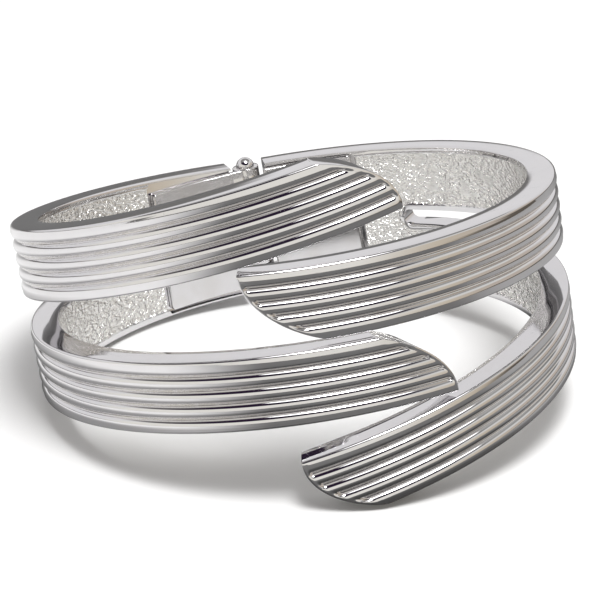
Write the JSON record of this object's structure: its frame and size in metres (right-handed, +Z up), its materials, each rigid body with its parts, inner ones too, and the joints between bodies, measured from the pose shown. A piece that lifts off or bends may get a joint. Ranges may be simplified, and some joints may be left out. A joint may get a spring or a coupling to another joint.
{
  "type": "hinged bypass cuff bracelet",
  "caption": "Silver-tone hinged cuff bangle: two forked halves with ridged leaf-tipped fingers that cross in front, on a sprung hinge whose pin has a domed head.",
  "frame": {"origin": "middle of the base of the bracelet's bounding box, on the surface it rests on", "axes": "+Z up from the table, +X across the bracelet to its right half, +Y from the crossed fingers towards the hinge"},
  "size_m": [0.0714, 0.0568, 0.0413],
  "materials": {
    "polished_band": "polished plating, textured wrist side",
    "polished_leaf": "polished plating",
    "polished_ball": "polished plating",
    "pin_steel": "drawn wire",
    "spring_steel": "drawn spring wire"
  },
  "bodies": {
    "left_half": {"left_band": "polished_band", "left_hinge_leaf": "polished_leaf", "hinge_pin": "pin_steel", "pin_top_dome": "polished_ball", "pin_bottom_ball": "polished_ball", "torsion_spring": "spring_steel"},
    "right_half": {"right_band": "polished_band", "right_hinge_leaf": "polished_leaf"}
  },
  "joints": [
    {"name": "cuff_hinge", "type": "hinge", "parent": "left_half", "child": "right_half", "pos_m": [0, 0.02493, 0.01035], "axis": [-0.1542, 0.2113, 0.9652], "range_deg": [0, 60], "stiffness_Nm_per_rad": 0.05, "springref_deg": -22.92, "deforming": ["torsion_spring"]}
  ]
}
